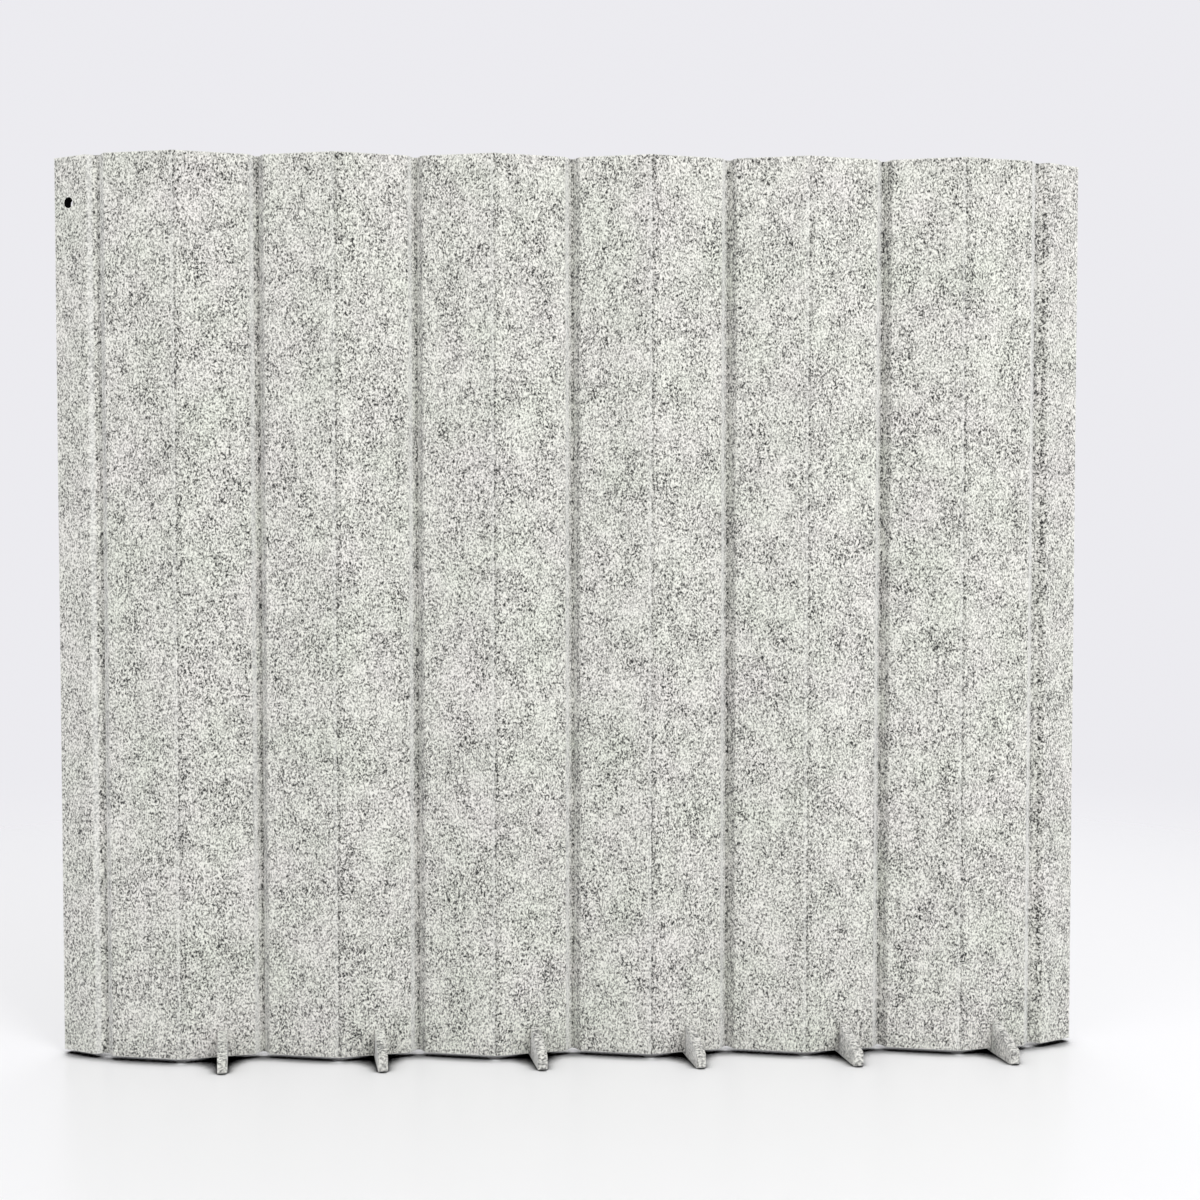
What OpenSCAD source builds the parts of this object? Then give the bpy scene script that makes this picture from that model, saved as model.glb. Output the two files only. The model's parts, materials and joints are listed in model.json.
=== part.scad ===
// Acoustic folding screen: one felt board scored into upright panels and set up as a zigzag,
// carried on felt feet that are cross-halved into its bottom edge.
// The front faces -Y, the top is +Z, and the origin is on the floor at the middle of the box.

/* [Board] */
// Height from the floor to the top edge
screen_h = 1700; // [1200:10:2100]
// Gap between the floor and the board's bottom edge
floor_gap = 8; // [4:1:20]
// Thickness of the felt board
felt_t = 18; // [12:1:25]
// Softened radius on the cut corners
corner_r = 1.2; // [0.6:0.2:2]

/* [Folds] */
// Number of bays, each a left-hand and a right-hand panel
bays = 6; // [2:1:9]
// Distance from one fold line to the next
fold_pitch = 153; // [120:1:220]
// Fold angle that the zigzag stands at, from flat
rest_fold = 22; // [4:1:60]
// How far the two outermost folds are bent open, past flat
end_fold = 15; // [0:1:45]
// Thickness of felt left uncut in a fold line
web_t = 2; // [1:0.2:4]
// Width of the uncut strip at the bottom of a groove
web_w = 5; // [4:0.5:8]
// Angle of a groove's sloping walls from square
bevel_angle = 45; // [30:1:50]
// Depth of the score on the face opposite a groove
score_depth = 0.6; // [0.4:0.1:1.2]
// Width of that score's sloping lip on each side of the uncut strip
score_lip = 1.1; // [0.6:0.1:3]
// Fine gap between an uncut strip and the panels on either side, so that neither binds
seam = 0.02; // [0.01:0.01:0.1]

/* [End panels] */
// Width of an end panel, from its fold line to its outer edge
end_w = 92; // [70:1:160]
// Diameter of the hanging hole in the left end panel
hole_d = 20; // [10:1:30]
// Distance from the outer edge to the hole's centre
hole_inset = 34; // [25:1:45]
// Distance from the top edge to the hole's centre
hole_drop = 86; // [40:1:200]

/* [Feet] */
// Thickness of a foot
foot_t = 18; // [12:1:25]
// Height of a foot where it meets the board's face
foot_h = 60; // [45:1:90]
// Reach of a foot beyond each face of the board
foot_reach = 76; // [50:1:90]
// Height of the blunt toe
toe_h = 27; // [20:1:35]
// Radius on the toe's upper and lower corners
toe_r = 6; // [3:1:9]
// Height at which foot and board are halved into each other
seat_z = 34; // [25:1:42]
// Clearance on each side of a halving slot
slot_clear = 0.3; // [0.1:0.1:1]

/* [Hidden] */
felt_grey = [0.84, 0.845, 0.835];
fold_grey = [0.74, 0.745, 0.735];
foot_grey = [0.80, 0.805, 0.795];
panels = 2 * bays;
board_h = screen_h - floor_gap;
half_t = felt_t / 2;
// Depth of a fold's turning line under the scored face, in the middle of the uncut strip
axis_depth = score_depth + web_t / 2;
axis_off = half_t - axis_depth;
groove_depth = felt_t - score_depth - web_t;
mouth_w = web_w + 2 * groove_depth * tan(bevel_angle);
score_w = web_w + 2 * score_lip;
arc_steps = 4;
cut = 1;

function two_digits(k) = str(k < 10 ? "0" : "", k);
function panel_name(k) = str("panel_", two_digits(k));
function web_name(k) = str("fold_web_", two_digits(k));
function foot_name(b) = str("foot_", b);

// Folds are numbered from 0 at the left. Even folds are valleys, with the groove at the front,
// and odd folds are ridges, with the groove at the back.
function is_valley(k) = k % 2 == 0;
function axis_v(k) = is_valley(k) ? axis_off : -axis_off;
// Heading of panel k, where 0 is the left end panel and panels + 1 is the right end panel
function heading(k) =
    k == 0 ? -rest_fold / 2 - end_fold :
    k == panels + 1 ? rest_fold / 2 + end_fold :
    is_valley(k) ? rest_fold / 2 : -rest_fold / 2;
function turned(p, a) = [p.x * cos(a) - p.y * sin(a), p.x * sin(a) + p.y * cos(a)];
// Plan position of fold line k, found by walking along the panels from fold 0
function chain(k) =
    k == 0 ? [0, 0] :
    chain(k - 1) + turned([fold_pitch, axis_v(k) - axis_v(k - 1)], heading(k));
// A point in panel k's own plan frame: u along it from its left fold line, v towards the back
function on_panel(k, u, v) =
    k == 0 ? chain(0) + turned([u, v - axis_v(0)], heading(0)) :
    chain(k - 1) + turned([u, v - axis_v(k - 1)], heading(k));

// The box of the whole screen in plan, from its outermost edges and toes
foot_u = fold_pitch / 2;
toe_v = half_t + foot_reach;
edge_points = [for (v = [-half_t, half_t]) each
    [on_panel(0, -end_w, v), on_panel(panels + 1, end_w, v)]];
toe_points = [for (b = [1:bays], v = [-toe_v, toe_v], u = [-foot_t / 2, foot_t / 2])
    on_panel(2 * b, foot_u + u, v)];
box_x = [for (p = edge_points) p.x];
box_y = [for (p = concat(edge_points, toe_points)) p.y];
centre = [(min(box_x) + max(box_x)) / 2, (min(box_y) + max(box_y)) / 2];
function place(k) = on_panel(k, 0, 0) - centre;

// Outline with each corner turned into an arc of its own radius, given as [x, y, radius]
function arc_at(a, b, c, r) =
    let (
        in = (a - b) / norm(a - b),
        out = (c - b) / norm(c - b),
        half = acos(max(-1, min(1, in * out))) / 2,
        far = b + (in + out) / norm(in + out) * r / sin(half),
        from = b + in * r / tan(half) - far,
        side = cross(from, b - far) > 0 ? 1 : -1
    )
    [for (i = [0:arc_steps]) far + turned(from, side * (180 - 2 * half) * i / arc_steps)];
function rounded(pts) =
    [for (i = [0:len(pts) - 1])
        let (
            n = len(pts),
            b = pts[i],
            before = pts[(i + n - 1) % n],
            after = pts[(i + 1) % n]
        )
        each b.z == 0 ? [[b.x, b.y]] :
            arc_at([before.x, before.y], [b.x, b.y], [after.x, after.y], b.z)];

// Half of a fold's cut profile, from the grooved face to the scored face, at u = 0
function groove_side() = [
    [mouth_w / 2, -half_t, corner_r],
    [web_w / 2, groove_depth - half_t, 0],
    [web_w / 2, half_t - score_depth, 0],
    [score_w / 2, half_t, 0]
];
function reversed(pts) = [for (i = [len(pts) - 1:-1:0]) pts[i]];
// Left end of a panel, listed from front to back, then right end, listed from back to front
function left_end(k) = is_valley(k) ? groove_side() :
    reversed([for (p = groove_side()) [p.x, -p.y, p.z]]);
function right_end(k) = reversed([for (p = left_end(k)) [fold_pitch - p.x, p.y, p.z]]);
function panel_outline(k) = rounded(concat(left_end(k - 1), right_end(k)));
function end_outline() = rounded(concat(
    groove_side(),
    [[end_w, half_t, corner_r], [end_w, -half_t, corner_r]]
));

module upright(k) {
    translate([place(k).x, place(k).y, 0]) rotate([0, 0, heading(k)]) children();
}

// Side view of a foot: a low trapezoid, steep from the board down to a blunt rounded toe
function foot_half() = [
    [half_t + slot_clear, foot_h, 0],
    [toe_v, toe_h, toe_r],
    [toe_v, 0, toe_r]
];
function foot_outline() = rounded(concat(
    foot_half(),
    reversed([for (p = foot_half()) [-p.x, p.y, p.z]])
));

module end_panel_left() {
    color(felt_grey)
    upright(0)
    difference() {
        translate([0, 0, floor_gap])
            linear_extrude(board_h) mirror([1, 0]) polygon(end_outline());
        translate([hole_inset - end_w, half_t + cut, screen_h - hole_drop])
            rotate([90, 0, 0]) cylinder(d = hole_d, h = felt_t + 2 * cut, $fn = 64);
    }
}

module end_panel_right() {
    color(felt_grey)
    upright(panels + 1)
    translate([0, 0, floor_gap]) linear_extrude(board_h) polygon(end_outline());
}

// A panel between two fold lines. Right-hand panels, the even ones, are slotted for a foot
module panel(k) {
    slot_w = foot_t + 2 * slot_clear;
    color(felt_grey)
    upright(k)
    difference() {
        translate([0, 0, floor_gap]) linear_extrude(board_h) polygon(panel_outline(k));
        if (is_valley(k))
            translate([foot_u - slot_w / 2, -half_t - cut, floor_gap - cut])
                cube([slot_w, felt_t + 2 * cut, seat_z - floor_gap + cut]);
    }
}

// The felt left uncut in fold line k, bent evenly between the square ends of its two panels
module fold_web(k) {
    lean = (heading(k + 1) - heading(k)) / 2;
    half_w = web_w / 2 - seam;
    color(fold_grey)
    translate([chain(k).x - centre.x, chain(k).y - centre.y, floor_gap])
    rotate([0, 0, heading(k) + lean])
    linear_extrude(board_h)
    polygon([
        turned([-half_w, web_t / 2], -lean),
        turned([-half_w, -web_t / 2], -lean),
        turned([half_w, -web_t / 2], lean),
        turned([half_w, web_t / 2], lean)
    ]);
}

// A foot, slotted from above to take the board of right-hand panel 2b
module foot(b) {
    slot_w = felt_t + 2 * slot_clear;
    color(foot_grey)
    upright(2 * b)
    translate([foot_u, 0, 0])
    difference() {
        translate([-foot_t / 2, 0, 0])
            rotate([90, 0, 90]) linear_extrude(foot_t) polygon(foot_outline());
        translate([-foot_t / 2 - cut, -slot_w / 2, seat_z])
            cube([foot_t + 2 * cut, slot_w, foot_h - seat_z + cut]);
    }
}

end_panel_left();
end_panel_right();
for (k = [1:panels]) panel(k);
for (k = [0:panels]) fold_web(k);
for (b = [1:bays]) foot(b);
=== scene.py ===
"""Looks of an acoustic folding screen: one pressed felt board, scored into upright panels and set
up as a zigzag on slotted felt feet.

Each panel, fold and foot is a slab worked out with numpy over a grid of outline points. Its felt is
a pattern in the flat board's own coordinates, so that it runs on across the folds and bends with
them.
"""
import json
import math

import bpy
import numpy as np
from bpy.props import FloatProperty, FloatVectorProperty, PointerProperty
from bpy.types import Operator, Panel, PropertyGroup
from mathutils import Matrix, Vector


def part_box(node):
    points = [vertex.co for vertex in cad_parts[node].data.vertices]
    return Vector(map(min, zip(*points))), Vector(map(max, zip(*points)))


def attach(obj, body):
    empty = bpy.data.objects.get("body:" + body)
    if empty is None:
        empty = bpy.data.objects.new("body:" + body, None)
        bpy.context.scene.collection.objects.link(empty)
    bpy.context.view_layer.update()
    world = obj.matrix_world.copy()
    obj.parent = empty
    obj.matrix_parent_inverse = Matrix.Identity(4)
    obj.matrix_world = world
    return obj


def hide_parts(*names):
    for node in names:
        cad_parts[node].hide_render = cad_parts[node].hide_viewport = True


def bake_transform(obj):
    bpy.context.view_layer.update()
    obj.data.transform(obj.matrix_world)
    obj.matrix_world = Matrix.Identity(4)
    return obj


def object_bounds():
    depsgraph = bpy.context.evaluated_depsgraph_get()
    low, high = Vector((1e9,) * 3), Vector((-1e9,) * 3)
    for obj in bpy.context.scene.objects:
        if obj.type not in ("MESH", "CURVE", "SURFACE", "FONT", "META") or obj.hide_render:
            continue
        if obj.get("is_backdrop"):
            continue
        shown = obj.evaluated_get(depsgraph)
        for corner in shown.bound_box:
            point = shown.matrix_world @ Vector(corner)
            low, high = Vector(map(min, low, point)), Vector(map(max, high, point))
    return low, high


bl_info = {
    "name": "Acoustic Folding Screen",
    "version": (1, 0, 0),
    "blender": (4, 5, 0),
    "location": "View3D > Sidebar > Felt Screen",
    "description": "Builds the felt panels, folds, feet and stage of an acoustic folding screen",
    "category": "Add Mesh",
}

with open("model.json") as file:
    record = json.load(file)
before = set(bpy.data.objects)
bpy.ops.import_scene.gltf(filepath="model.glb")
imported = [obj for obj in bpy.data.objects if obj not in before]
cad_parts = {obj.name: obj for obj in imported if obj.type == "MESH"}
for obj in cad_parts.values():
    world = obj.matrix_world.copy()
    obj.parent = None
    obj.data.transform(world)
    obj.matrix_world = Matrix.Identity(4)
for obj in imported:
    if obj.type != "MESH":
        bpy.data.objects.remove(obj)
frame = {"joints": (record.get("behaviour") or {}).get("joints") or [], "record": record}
CAD_BOX = [list(corner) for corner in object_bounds()]
MM = 0.001

# Named parts of the frame
HINGES = sorted(
    (joint for joint in frame["joints"] if joint["name"].startswith("fold_")),
    key=lambda joint: joint["name"],
)
HOLE = next(
    mount for mount in frame["record"]["mounts"] if mount["name"] == "hanging_hole")
PANELS = len(HINGES) - 1
BOARD_BOTTOM, BOARD_TOP = (corner.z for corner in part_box("panel_01"))
FOOT_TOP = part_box("foot_1")[1].z


class FeltSizes(PropertyGroup):
    """Sizes of the board, its folds and its feet."""

    thickness: FloatProperty(
        name="Felt Thickness", description="Thickness of the felt board and of each foot",
        default=18 * MM, min=12 * MM, max=25 * MM, unit="LENGTH")
    web_thickness: FloatProperty(
        name="Web Thickness", description="Thickness of felt left uncut in a fold line",
        default=2 * MM, min=1 * MM, max=4 * MM, unit="LENGTH")
    web_width: FloatProperty(
        name="Web Width", description="Width of the uncut strip at the bottom of a groove",
        default=5 * MM, min=4 * MM, max=8 * MM, unit="LENGTH")
    bevel: FloatProperty(
        name="Groove Bevel", description="Angle of a groove's walls from square",
        default=math.radians(45), min=math.radians(30), max=math.radians(50), subtype="ANGLE")
    score_depth: FloatProperty(
        name="Score Depth", description="Depth of the score on the face opposite a groove",
        default=0.6 * MM, min=0.4 * MM, max=1.2 * MM, unit="LENGTH")
    score_lip: FloatProperty(
        name="Score Lip", description="Width of the score's slope on each side of the web",
        default=1.1 * MM, min=0.6 * MM, max=3 * MM, unit="LENGTH")
    crease: FloatProperty(
        name="Crease", description="Further depth of the crease down the middle of a score",
        default=0.8 * MM, min=0.0, max=1 * MM, unit="LENGTH")
    lip_round: FloatProperty(
        name="Lip Rounding", description="Softness of the lips where a groove meets the face",
        default=1.0 * MM, min=0.2 * MM, max=3 * MM, unit="LENGTH")
    edge_round: FloatProperty(
        name="Edge Rounding", description="Radius on the cut edges of panels and feet",
        default=1.3 * MM, min=0.4 * MM, max=3 * MM, unit="LENGTH")
    relief: FloatProperty(
        name="Relief", description="Depth of the soft unevenness of the pressed faces",
        default=0.35 * MM, min=0.0, max=1 * MM, unit="LENGTH")
    mesh_step: FloatProperty(
        name="Mesh Step", description="Distance between mesh lines on the flat faces",
        default=6 * MM, min=3 * MM, max=20 * MM, unit="LENGTH")
    end_bend: FloatProperty(
        name="End Bend", description="How far each end panel turns past its neighbour's line",
        default=math.radians(15), min=0.0, max=math.radians(45), subtype="ANGLE")
    end_width: FloatProperty(
        name="End Panel Width", description="Width of an end panel from its fold to its edge",
        default=92 * MM, min=70 * MM, max=160 * MM, unit="LENGTH")
    foot_reach: FloatProperty(
        name="Foot Reach", description="Reach of a foot beyond each face of the board",
        default=76 * MM, min=50 * MM, max=90 * MM, unit="LENGTH")
    toe_height: FloatProperty(
        name="Toe Height", description="Height of a foot's blunt toe",
        default=27 * MM, min=20 * MM, max=35 * MM, unit="LENGTH")
    toe_round: FloatProperty(
        name="Toe Rounding", description="Radius on a toe's upper and lower corners",
        default=6 * MM, min=3 * MM, max=9 * MM, unit="LENGTH")
    seat_height: FloatProperty(
        name="Seat Height", description="Height at which foot and board are halved together",
        default=34 * MM, min=25 * MM, max=42 * MM, unit="LENGTH")
    slot_clearance: FloatProperty(
        name="Slot Clearance", description="Clearance on each side of a halving slot",
        default=0.3 * MM, min=0.1 * MM, max=1 * MM, unit="LENGTH")


class FeltColours(PropertyGroup):
    """Colours of the marled felt, and the near-black painted shade on the hole's wall."""

    pale: FloatVectorProperty(
        name="Pale Fibre", description="Colour of the off-white fibres", subtype="COLOR",
        size=3, min=0.0, max=1.0, default=(0.862, 0.860, 0.803))
    light: FloatVectorProperty(
        name="Light Ground", description="Colour of the felt where pale fibres prevail",
        subtype="COLOR", size=3, min=0.0, max=1.0, default=(0.631, 0.629, 0.588))
    ground: FloatVectorProperty(
        name="Ground", description="Colour of the felt between its flecks", subtype="COLOR",
        size=3, min=0.0, max=1.0, default=(0.470, 0.469, 0.438))
    fleck: FloatVectorProperty(
        name="Grey Fleck", description="Colour of the soft grey flecks", subtype="COLOR",
        size=3, min=0.0, max=1.0, default=(0.265, 0.264, 0.245))
    dark: FloatVectorProperty(
        name="Dark Fibre", description="Colour of the charcoal fibres", subtype="COLOR",
        size=3, min=0.0, max=1.0, default=(0.016, 0.016, 0.016))
    # Painted shade: the hole's wall gets a near-black colour that stands in for the shade inside
    # the hole
    hole_shade_colour: FloatVectorProperty(
        name="Hole Wall", description="Colour of the dark wall of the hanging hole",
        subtype="COLOR", size=3, min=0.0, max=1.0, default=(0.004, 0.004, 0.004))


class StageSettings(PropertyGroup):
    """Camera, lights and background."""

    focal_length: FloatProperty(
        name="Focal Length", description="Lens of the camera on a sensor 36 mm wide, in mm",
        default=45.9, min=20.0, max=120.0, unit="CAMERA")
    key_power: FloatProperty(
        name="Key Light", description="Power of the large soft light from the front right",
        default=116.0, min=0.0, max=900.0, subtype="POWER")
    fill_power: FloatProperty(
        name="Fill Light", description="Power of the soft light from the front left",
        default=16.0, min=0.0, max=500.0, subtype="POWER")
    back_power: FloatProperty(
        name="Back Light", description="Power of the soft light from above and behind",
        default=19.0, min=0.0, max=500.0, subtype="POWER")
    sky: FloatProperty(
        name="Room Light", description="Strength of the even light from all round",
        default=0.775, min=0.0, max=2.0)
    backdrop: FloatVectorProperty(
        name="Backdrop", description="Colour of the background as the camera sees it",
        subtype="COLOR", size=3, min=0.0, max=1.0, default=(0.839, 0.834, 0.870))
    floor: FloatVectorProperty(
        name="Floor", description="Colour of the pale floor", subtype="COLOR", size=3,
        min=0.0, max=1.0, default=(0.86, 0.86, 0.875))
    floor_lift: FloatProperty(
        name="Floor Lift", description="How much whiter the camera sees the floor than it is lit",
        default=0.13, min=0.0, max=0.6, subtype="FACTOR")


# Share of a mesh step that counts as nothing
CLOSE = 1e-6
# Cells of a lattice of random numbers each way before it repeats
LATTICE = 64
# The least number of points on an arc, and how many there are for each step in its radius
ARC_POINTS, POINTS_PER_STEP = 4, 3


# Small tools for shapes, all on whole arrays
def smooth_step(low, high, x):
    """0 below low, 1 above high, and 3t squared less 2t cubed between them."""
    t = np.clip((x - low) / (high - low), 0, 1)
    return t * t * (3 - 2 * t)


def smooth_max(a, b, softness):
    """The larger of a and b, with the corner between them on a hyperbola."""
    return 0.5 * (a + b + np.sqrt((a - b) ** 2 + softness ** 2))


def turned(x, y, angle):
    """The point or points (x, y) turned anticlockwise by angle, as an array of pairs."""
    c, s = math.cos(angle), math.sin(angle)
    return np.stack([x * c - y * s, x * s + y * c], -1)


def graded(stops, steps):
    """Positions from stop to stop, each stretch cut evenly into steps no longer than its own."""
    runs = [
        np.linspace(a, b, max(1, math.ceil(abs(b - a) / step - CLOSE)) + 1)[:-1]
        for a, b, step in zip(stops, stops[1:], steps)
    ]
    return np.concatenate(runs + [[stops[-1]]])


def unevenness(a, b, spacing, seed):
    """Soft random heights from 0 to 1: a lattice of random numbers, spacing apart, with smooth
    steps between them in both directions."""
    table = np.random.default_rng(seed).random((LATTICE, LATTICE))
    x, y = np.asarray(a) / spacing, np.asarray(b) / spacing
    i, j = np.floor(x).astype(int), np.floor(y).astype(int)
    fx, fy = smooth_step(0, 1, x - i), smooth_step(0, 1, y - j)
    corner = lambda di, dj: table[(i + di) % LATTICE, (j + dj) % LATTICE]
    low = corner(0, 0) * (1 - fx) + corner(1, 0) * fx
    high = corner(0, 1) * (1 - fx) + corner(1, 1) * fx
    return low * (1 - fy) + high * fy


def rounded_path(corners, radii, step):
    """A line through corners, with each inner corner turned into an arc of its own radius, cut
    into steps no longer than step. An arc of radius r starts r / tan(half the angle) before its
    corner."""
    corners = np.asarray(corners, float)
    pieces = [corners[:1]]
    for before, corner, after, radius in zip(corners, corners[1:], corners[2:], radii):
        inward = (before - corner) / np.linalg.norm(before - corner)
        onward = (after - corner) / np.linalg.norm(after - corner)
        half = math.acos(float(np.clip(inward @ onward, -1, 1))) / 2
        inside = (inward + onward) / np.linalg.norm(inward + onward)
        middle = corner + inside * radius / math.sin(half)
        start = corner + inward * radius / math.tan(half) - middle
        end = corner + onward * radius / math.tan(half) - middle
        points = max(ARC_POINTS, math.ceil(radius / step * POINTS_PER_STEP))
        t = np.linspace(0, 1, points)[:, None]
        chord = start * (1 - t) + end * t
        arc = middle + chord / np.linalg.norm(chord, axis=1, keepdims=True) * radius
        pieces.append(arc)
    pieces.append(corners[-1:])
    line = np.concatenate(pieces)
    out = [line[:1]]
    for a, b in zip(line, line[1:]):
        count = max(1, math.ceil(np.linalg.norm(b - a) / step - CLOSE))
        out.append(a + (b - a) * (np.arange(1, count + 1) / count)[:, None])
    return np.concatenate(out)


def resampled(path, shares):
    """Points on a path at the given shares of its length."""
    lengths = np.concatenate([[0], np.cumsum(np.linalg.norm(np.diff(path, axis=0), axis=1))])
    at = np.asarray(shares) * lengths[-1]
    return np.stack([np.interp(at, lengths, path[:, 0]), np.interp(at, lengths, path[:, 1])], -1)


class Slab:
    """A closed slab over a grid of outline points (a, b), with its faces at c = front(a, b) and
    c = back(a, b). Round its border, and round a hole, the edge goes from face to face on a quarter
    turn, a straight and a quarter turn. The radius e of the turns is edge_round or THICK_ROUND
    times the slab's thickness there, whichever is less, and HOLE_ROUND times that round a hole.
    Given rise, the inner points of each column are ruled anew at those shares between its inset
    ends. Each vertex has an edge value: 0 on a face, BORDER_EDGE on its border, 1 on the edge."""

    TURN_STEPS = 3
    STRAIGHT_STEPS = 3
    HOLE_RINGS = 4
    THICK_ROUND = 0.4
    HOLE_ROUND = 0.3
    BORDER_EDGE = 0.6

    def __init__(self, a, b, front, back, edge_round, hole=None, rise=None):
        self.front, self.back, self.edge_round = front, back, edge_round
        self.blocks, self.edges, self.quads, self.count = [], [], [], 0
        a, b = a.copy(), b.copy()
        columns, rows = a.shape
        grid = np.arange(a.size).reshape(a.shape)
        border = np.concatenate([
            grid[:, 0], grid[-1, 1:], grid[-2::-1, -1], grid[0, -2:0:-1]])
        outline = np.stack([a.ravel()[border], b.ravel()[border]], -1)
        normals = self.outward(outline)
        radius = self.local_radius(outline)
        c = [front(a, b), back(a, b)]
        inset = outline - normals * radius[:, None]
        a.ravel()[border], b.ravel()[border] = inset.T
        if rise is not None:
            for line in (a, b):
                line[:, 1:-1] = line[:, :1] + (line[:, -1:] - line[:, :1]) * rise[1:-1]
        faces = [self.add(np.stack([a, b, height], -1).reshape(-1, 3)) for height in c]
        for face in self.edges:
            face[border] = self.BORDER_EDGE
        cells = np.ones((columns - 1, rows - 1), bool)
        if hole:
            (i0, i1), (j0, j1), centre, hole_radius = hole
            cells[i0:i1, j0:j1] = False
        i, j = np.nonzero(cells)
        square = np.stack([grid[i, j], grid[i + 1, j], grid[i + 1, j + 1], grid[i, j + 1]], -1)
        self.quads += [square[:, ::-1] + faces[0], square + faces[1]]
        self.rim(outline, normals, radius, border + faces[0], border + faces[1])
        if hole:
            patch = grid[i0:i1 + 1, j0:j1 + 1]
            loop = np.concatenate([
                patch[0, :], patch[1:, -1], patch[-1, -2::-1], patch[-2:0:-1, 0]])
            self.cut_hole(a, b, loop, faces, np.asarray(centre), hole_radius)

    @staticmethod
    def outward(loop):
        """Unit normals of a loop, square to the line from each point's neighbour to the next."""
        tangent = np.roll(loop, -1, 0) - np.roll(loop, 1, 0)
        normal = np.stack([tangent[:, 1], -tangent[:, 0]], -1)
        return normal / np.linalg.norm(normal, axis=1, keepdims=True)

    def local_radius(self, loop):
        """Radius of the edge's turns at each point of a loop."""
        thickness = self.back(*loop.T) - self.front(*loop.T)
        return np.minimum(self.edge_round, self.THICK_ROUND * thickness)

    def add(self, places, edge=0.0):
        """Adds vertices with one edge value, and returns the index of the first."""
        first = self.count
        self.blocks.append(places)
        self.edges.append(np.full(len(places), edge))
        self.count += len(places)
        return first

    def strips(self, rings, flip=False):
        """Quads between neighbouring rings of vertex indices."""
        for ring, following in zip(rings, rings[1:]):
            quad = np.stack([ring, np.roll(ring, -1), np.roll(following, -1), following], -1)
            self.quads.append(quad[:, ::-1] if flip else quad)

    def rim(self, loop, normals, radius, front_ring, back_ring):
        """The cut edge: on each quarter turn an inset of e(1 - sin t) and a depth of
        e(1 - cos t), for t from 0 to a right angle."""
        low, high = self.front(*loop.T), self.back(*loop.T)
        t = np.linspace(0, math.pi / 2, self.TURN_STEPS + 1)[1:]
        places = [
            (loop - normals * (radius * (1 - math.sin(s)))[:, None],
             low + radius * (1 - math.cos(s))) for s in t]
        places += [
            (loop, low + radius + (high - low - 2 * radius) * s)
            for s in np.linspace(0, 1, self.STRAIGHT_STEPS + 1)[1:-1]]
        places += [
            (loop - normals * (radius * (1 - math.sin(s)))[:, None],
             high - radius * (1 - math.cos(s))) for s in t[::-1]]
        rings = [front_ring]
        for flat, height in places:
            first = self.add(np.column_stack([flat, height]), edge=1.0)
            rings.append(first + np.arange(len(loop)))
        self.strips(rings + [back_ring])

    def cut_hole(self, a, b, loop, faces, centre, hole_radius):
        """Rings from the square patch round a hole in to its circle, then the wall of the hole."""
        square = np.stack([a.ravel()[loop], b.ravel()[loop]], -1)
        spoke = square - centre
        circle = centre + spoke / np.linalg.norm(spoke, axis=1, keepdims=True) * hole_radius
        normals = -(circle - centre) / hole_radius
        radius = self.HOLE_ROUND * self.local_radius(circle)
        lip = circle - normals * radius[:, None]
        last = []
        for first, height, flip in zip(faces, (self.front, self.back), (False, True)):
            rings = [loop + first]
            for share in np.linspace(0, 1, self.HOLE_RINGS + 1)[1:]:
                flat = square + (lip - square) * share
                level = height(*(circle if share == 1 else flat).T)
                start = self.add(np.column_stack([flat, level]))
                rings.append(start + np.arange(len(loop)))
            self.strips(rings, flip)
            last.append(rings[-1])
        self.wall_first = self.count
        self.rim(circle, normals, radius, *last)
        self.wall_count = self.count - self.wall_first

    def finished(self):
        """(places, quads, edge, used), without the vertices that no quad uses. Used is the number
        that each vertex had among all of them."""
        quads = np.concatenate(self.quads)
        used, quads = np.unique(quads, return_inverse=True)
        quads = quads.reshape(-1, 4)
        return np.concatenate(self.blocks)[used], quads, np.concatenate(self.edges)[used], used


def outward_quads(places, quads):
    """The quads, turned round if the volume they enclose comes out negative."""
    p = places[quads]
    volume = sum(
        np.einsum("ij,ij->i", p[:, 0], np.cross(p[:, k], p[:, k + 1])).sum() for k in (1, 2))
    return quads if volume > 0 else quads[:, ::-1]


def felt_object(name, places, quads, felt, cut, rim, materials, wall=None):
    """A mesh object at the origin, with its felt coordinates, its share of cut surface and painted
    shade, and its share of pale rim: fuzz of fibres on cut edges, and painted highlight."""
    quads = outward_quads(places, quads)
    mesh = bpy.data.meshes.new(name)
    mesh.vertices.add(len(places))
    mesh.vertices.foreach_set("co", places.astype(np.float32).ravel())
    mesh.loops.add(quads.size)
    mesh.loops.foreach_set("vertex_index", quads.astype(np.int32).ravel())
    mesh.polygons.add(len(quads))
    mesh.polygons.foreach_set("loop_start", np.arange(0, quads.size, 4, dtype=np.int32))
    mesh.update(calc_edges=True)
    board = mesh.attributes.new("felt", "FLOAT_VECTOR", "POINT")
    board.data.foreach_set("vector", felt.astype(np.float32).ravel())
    for label, share in (("cut", cut), ("rim", rim)):
        layer = mesh.attributes.new(label, "FLOAT", "POINT")
        layer.data.foreach_set("value", np.clip(share, 0, 1).astype(np.float32))
    for material in materials:
        mesh.materials.append(material)
    # Faces of the hole's wall take the second material, the hole's painted shade
    if wall is not None:
        slots = wall[quads].all(axis=1).astype(np.int32)
        mesh.polygons.foreach_set("material_index", slots)
    mesh.shade_smooth()
    thing = bpy.data.objects.new(name, mesh)
    bpy.context.scene.collection.objects.link(thing)
    return thing


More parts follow.
